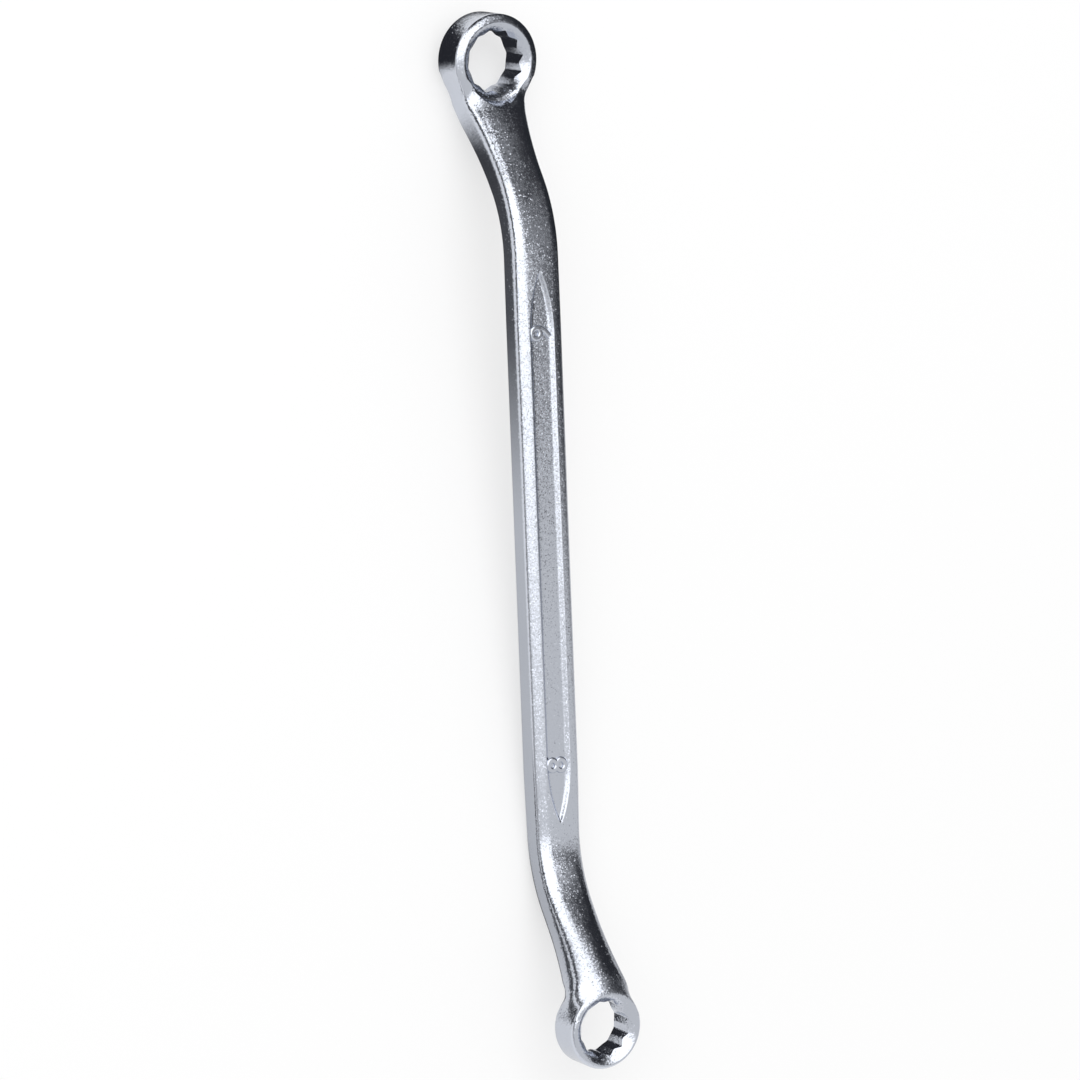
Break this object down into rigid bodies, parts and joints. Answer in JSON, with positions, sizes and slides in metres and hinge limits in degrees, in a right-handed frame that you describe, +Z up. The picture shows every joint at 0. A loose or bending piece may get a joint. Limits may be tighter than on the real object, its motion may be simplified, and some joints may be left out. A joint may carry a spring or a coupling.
{
  "type": "ring spanner",
  "caption": "Offset ring spanner for hexagon nuts and bolts: a slim shank with a recessed panel and a cranked neck to a closed, multi-point ring at each end.",
  "frame": {"origin": "middle of the bounding box's base, on the surface that the spanner rests on", "axes": "+X along the spanner towards the 8 mm ring, +Y across the shank, +Z up from the surface"},
  "size_m": [0.1686, 0.0152, 0.0146],
  "materials": {
    "chrome": "satin and polished chrome plate on forged steel"
  },
  "bodies": {
    "root": {"ring_end_9": "chrome", "neck_9": "chrome", "shank": "chrome", "neck_8": "chrome", "ring_end_8": "chrome"}
  },
  "joints": []
}
